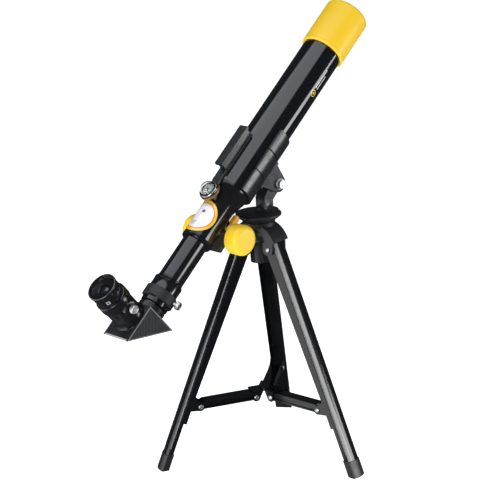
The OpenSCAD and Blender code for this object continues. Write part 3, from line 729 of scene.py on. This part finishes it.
def eyepiece():
    """Eyepiece body: a waisted barrel with a groove, a rolled rim and a stepped funnel round the eye lens."""
    bottom, top, radius, body = 53.7, 68.5, 15.3, 14.7
    profile = [(11.2, bottom), (body - 0.2, bottom), (body, bottom + 0.3), (body, bottom + 4.8),
               (body - 0.5, bottom + 5.1), (body - 0.5, bottom + 5.7), (body, bottom + 6),
               (body - 0.2, top - 4.2), (15.1, top - 3.2), (radius, top - 2.6)]
    profile += round_corner((radius - 0.9, top - 0.9), 0.9, 0, 90, 6)
    profile += [(13.9, top - 0.1), (13.5, top - 0.7), (13.2, top - 2.4)]
    for k in range(4):
        outer, depth = 12.9 - 1.75 * k, top - 2.7 - 0.35 * k
        profile += [(outer, depth), (outer - 1.2, depth - 0.1), (outer - 1.35, depth - 0.7),
                    (outer - 1.6, depth - 0.7)]
    profile += [(5.6, top - 4.6), (5.5, top - 6.9), (11, top - 9.3), (11.2, bottom)]
    bm = bmesh.new()
    lathe(bm, profile, 128)
    place("eyepiece_shell", bm, EYE, EYE_BLACK, "eyepiece", ["eyepiece_body"],
          angle=40)
    # a grey bead over the top rim: a painted highlight
    bm = bmesh.new()
    edge = round_corner((radius - 0.75, top - 0.75), 0.82, 20, 100, 6)
    lathe(bm, edge + [edge[0]], 128)
    place("eyepiece_rim_highlight", bm, EYE, EYE_RIM_HIGHLIGHT, "eyepiece")
    # the eye lens: the shade inside the eyepiece is painted into its near-black colour
    bm = bmesh.new()
    lens_radius, crown, steps = 5.45, 1.9, 8
    dome = []
    for k in range(steps + 1):
        rise = math.pi / 2 * k / steps
        dome.append((lens_radius * math.cos(rise) + PINHOLE, top - 6.4 + crown * math.sin(rise)))
    rings = lathe(bm, [(lens_radius, top - 6.8)] + dome, 64)
    cap(bm, rings[0][::-1])
    place("eye_lens", bm, EYE, EYE_LENS_SHADE, "eyepiece")
    bm = bmesh.new()
    mark_radius, columns_each = body + 0.08, 4
    for low, tall, start, end in ((3.3, 4.0, -50, -46), (3.3, 4.0, -40, -36), (6.7, 0.6, -46, -40),
                                  (3.3, 0.6, -46, -40)):
        columns = []
        for step in range(columns_each + 1):
            angle = math.radians(start + (end - start) * step / columns_each)
            columns.append([bm.verts.new(polar(mark_radius, angle, bottom + height))
                            for height in (low, low + tall)])
        for (a, b), (c, d) in zip(columns, columns[1:]):
            bm.faces.new((a, c, d, b))
    place("eyepiece_marks", bm, EYE, MARK_GREY, "eyepiece")


def eyepiece_tube():
    """The diagonal's upright tube with a flared foot and a flange, and the boss of its screw."""
    bm = bmesh.new()
    top, base, bore = 53.5, HOUSE_HIGH, 12.35
    profile = [(bore, base), (17, base), (16.4, base + 0.8), (15.5, base + 2.8), (15.2, base + 6),
               (15.2, 41), (15.6, 42), (16.2, 42.6), (16.3, 43), (16.3, top - 1), (16.0, top - 0.4),
               (15.4, top), (bore, top), (bore, base)]
    lathe(bm, profile, 128)
    place("upright_tube", bm, EYE, EYE_BLACK, "diagonal", ["eyepiece_socket"],
          angle=40)
    bm = bmesh.new()
    low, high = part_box("eye_thumbscrew")
    height = (EYE.inverted() @ ((low + high) / 2)).z
    profile = [(7.4, 12.4), (7.2, 15), (7, 17.6), (6.7, 18.2), (6.0, 18.4), (1.75, 18.4), (1.75, 12.4)]
    lathe(bm, profile, 64, towards((1, 0, 0), (0, 0, height)))
    place("screw_boss", bm, EYE, EYE_BLACK, "diagonal", angle=40)


# ---- compass ----


def compass():
    """Compass: a fluted steel ring, an amber band, a pale dial with degree marks and a two-colour needle."""
    low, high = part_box("compass_bezel")
    centre = tube_coords((low + high) / 2)
    spot = TUBE @ Matrix.Translation(Vector((0, centre.y, 0)))

    flutes = 48

    def flute(angle):
        return 1 - 0.012 * (0.5 + 0.5 * math.cos(angle * flutes))

    bm = bmesh.new()
    profile = [(9.4, 23.6), (10.2, 23.6), (10.4, 23.9, 1), (10.4, 25.2, 1), (10.2, 25.5), (9.7, 26.0),
               (8.75, 26.05), (8.7, 25.3), (9.4, 25.2), (9.4, 23.6)]
    lathe(bm, profile, 384, flute=flute)
    place("bezel_ring", bm, spot, BEZEL_STEEL, "tube", ["compass_bezel"])
    bm = bmesh.new()
    cup = [(10.82, 21.0), (10.9, 21.1), (10.95, 22.2), (10.9, 23.4), (10.82, 23.5)]
    lathe(bm, cup + [cup[0]], 96)
    place("amber_band", bm, spot, AMBER, "tube")
    bm = bmesh.new()
    card_top, mark_end, marks = 26.4, 6.2, 36
    profile = [(0.8, 23.2), (0.8, 25.6), (6.4, 25.6), (6.6, 25.75), (6.6, 26.3), (6.4, card_top),
               (0.3, card_top)]
    disc = lathe(bm, profile, 64)
    cap(bm, disc[0][::-1])
    cap(bm, disc[-1])
    place("dial", bm, spot, CARD_GREEN, "compass_card", ["compass_card"])
    bm = bmesh.new()
    base = Vector((0, 0, card_top + 0.03))
    for k in range(marks):
        angle = TAU * k / marks
        quarter = k % 9 == 0
        inner, half = (4.9, 0.3) if quarter else (5.5, 0.16)
        side = Vector((-math.sin(angle), math.cos(angle), 0)) * half
        radial = Vector((math.cos(angle), math.sin(angle), 0))
        bm.faces.new([bm.verts.new(base + radial * reach + side * sign)
                      for reach, sign in ((inner, -1), (mark_end, -1), (mark_end, 1), (inner, 1))])
    place("dial_marks", bm, spot, DARK_PRINT, "compass_card")
    turn = Matrix.Rotation(math.radians(35), 4, "Z")
    for name, material, sign in (("needle_north", RED_PRINT, 1), ("needle_south", DARK_PRINT, -1)):
        bm = bmesh.new()
        prism(bm, [(-1.2, 0), (0, 4.6 * sign), (1.2, 0)][::sign], card_top + 0.05, card_top + 0.5, turn)
        place(name, bm, spot, material, "compass_card", bevel=0.08)


# ---- small seams and trim ----


def trims():
    """Rings and beads that break up the long plain surfaces."""
    rings = (
        ("hood_seam", 24.12, 195.2, 0.5, YELLOW, "tube", "yellow_plastic"),
        ("lip_bead", 16.25, -56.6, 0.5, NECK_BLACK, "tube", "gloss_black_plastic"),
        ("draw_bead", 13.3, -107.6, 0.5, NECK_BLACK, "drawtube", "gloss_black_plastic"),
        ("socket_bead", 15.05, -111.4, 0.4, NECK_BLACK, "drawtube", "gloss_black_plastic"),
    )
    proud, steps = 0.18, 6
    for name, radius, station, half, material, body, slot in rings:
        bead = [(radius - 0.1, station - half)]
        for k in range(steps + 1):
            angle = math.pi * k / steps
            bead.append((radius + proud * math.sin(angle), station - half * math.cos(angle)))
        bead += [(radius - 0.1, station + half), bead[0]]
        bm = bmesh.new()
        lathe(bm, bead, 128, ALONG_TUBE)
        place(name, bm, TUBE, material, body, angle=50)


# ---- stage ----


def camera():
    """The camera stands behind, to the right of and a little above the telescope."""
    azimuth, elevation, roll = math.radians(45.77), math.radians(16.39), math.radians(-2.47)
    distance, aim_across, aim_height = 1.6, -0.01829, 0.23441
    right = Vector((math.cos(azimuth), math.sin(azimuth), 0))
    look = Vector((-math.sin(azimuth) * math.cos(elevation), math.cos(azimuth) * math.cos(elevation),
                   -math.sin(elevation)))
    up = right.cross(look)
    aim = right * aim_across + Vector((0, 0, aim_height))
    x_axis = right * math.cos(roll) + up * math.sin(roll)
    y_axis = -right * math.sin(roll) + up * math.cos(roll)
    matrix = Matrix.Identity(4)
    for column, axis in enumerate((x_axis, y_axis, -look)):
        matrix.col[column] = (*axis, 0)
    matrix.translation = aim - look * distance
    data = bpy.data.cameras.new("camera")
    data.sensor_width = 36
    data.lens = 114.25
    data.clip_end = 50
    eye = bpy.data.objects.new("camera", data)
    eye.matrix_world = matrix
    bpy.context.scene.collection.objects.link(eye)
    bpy.context.scene.camera = eye


LIT_CENTRE = Vector((0, 0, 0.26))
WHITE, COOL = (1, 1, 1), (0.90, 0.94, 1.0)


def softbox(name, direction, distance, width, height, radiance, color=WHITE):
    """An area light of a given radiance, facing the telescope and unseen by the camera."""
    data = bpy.data.lights.new(name, "AREA")
    data.shape = "RECTANGLE"
    data.size, data.size_y = width, height
    data.energy = radiance * math.pi * width * height
    data.color = color
    lamp = bpy.data.objects.new(name, data)
    towards_lamp = Vector(direction).normalized()
    lamp.visible_camera = False
    lamp.location = LIT_CENTRE + towards_lamp * distance
    lamp.rotation_mode = "QUATERNION"
    lamp.rotation_quaternion = towards_lamp.to_track_quat("Z", "Y")
    bpy.context.scene.collection.objects.link(lamp)
    return lamp


def shine_on(lamp, nodes):
    """Limits a light to some CAD nodes, as a flag would in a studio."""
    lit = bpy.data.collections.new(f"{lamp.name}_targets")
    for node in nodes:
        lit.objects.link(frame["nodes"][node])
    lamp.light_linking.receiver_collection = lit


def studio():
    """Pale floor, pale surroundings and soft lights."""
    bm = bmesh.new()
    bmesh.ops.create_circle(bm, cap_ends=True, segments=96, radius=14)
    mesh = bpy.data.meshes.new("floor")
    bm.to_mesh(mesh)
    bm.free()
    floor = bpy.data.objects.new("floor", mesh)
    bpy.context.scene.collection.objects.link(floor)
    pale = (0.9, 0.9, 0.9)
    white = new_material("floor_white", pale, 0.9, specular=0.1)
    shader = white.node_tree.nodes["Principled BSDF"]
    shader.inputs["Emission Color"].default_value = (1, 1, 1, 1)
    shader.inputs["Emission Strength"].default_value = 1.0
    vary_color(white, pale, (0.88, 0.88, 0.88), 3)
    mesh.materials.append(white)
    floor.visible_glossy = False
    # white where the camera sees it, and a faint cool fill everywhere else
    world = bpy.data.worlds.new("studio")
    world.use_nodes = True
    nodes, links = world.node_tree.nodes, world.node_tree.links
    fill = nodes["Background"]
    fill.inputs["Color"].default_value = (*COOL, 1)
    fill.inputs["Strength"].default_value = 0.05
    seen = nodes.new("ShaderNodeBackground")
    seen.inputs["Color"].default_value = (*WHITE, 1)
    seen.inputs["Strength"].default_value = 1.1
    path = nodes.new("ShaderNodeLightPath")
    blend = nodes.new("ShaderNodeMixShader")
    links.new(path.outputs["Is Camera Ray"], blend.inputs["Fac"])
    links.new(fill.outputs[0], blend.inputs[1])
    links.new(seen.outputs[0], blend.inputs[2])
    links.new(blend.outputs[0], nodes["World Output"].inputs["Surface"])
    bpy.context.scene.world = world
    bpy.context.scene.view_settings.view_transform = "Standard"
    softbox("top_box", (0.05, -0.3, 0.95), 1.25, 2.1, 0.7, 2.6, COOL)
    softbox("front_box", (0.3, -0.92, 0.11), 1.7, 0.7, 0.84, 8.0)
    softbox("right_strip", (0.786, 0.617, -0.063), 1.43, 0.6, 0.28, 8.0)
    softbox("low_card", (-0.45, -0.8, -0.4), 0.62, 0.7, 0.5, 1.6)
    shine_on(softbox("leg_box", (0.915, 0.378, 0.146), 1.44, 0.5, 0.5, 10.0),
             ("leg_a", "leg_b", "leg_c", "foot_a", "foot_b", "foot_c", "crown", "head_casting"))
    shine_on(softbox("draw_box", (0.932, 0.355, 0.03), 1.35, 0.42, 0.36, 9.0),
             ("drawtube", "draw_socket", "focuser_body", "cradle"))


dress_cad()
tripod_screws()
thumbscrew("draw_thumbscrew", 16.6, 4.2,
           TUBE @ Matrix.Translation(Vector((0, -127, 0))) @ Matrix.Rotation(math.radians(25), 4, "Y"))
thumbscrew("eye_thumbscrew", 17.8, 4.3, EYE @ Matrix.Translation(Vector((0, 0, 38.5))))
decal()
tube_mark()
leg_corner_highlights()
knobs()
lock_stem()
socket_ring()
side_plates()
house_corner_highlight()
eyepiece()
eyepiece_tube()
compass()
trims()
camera()
studio()
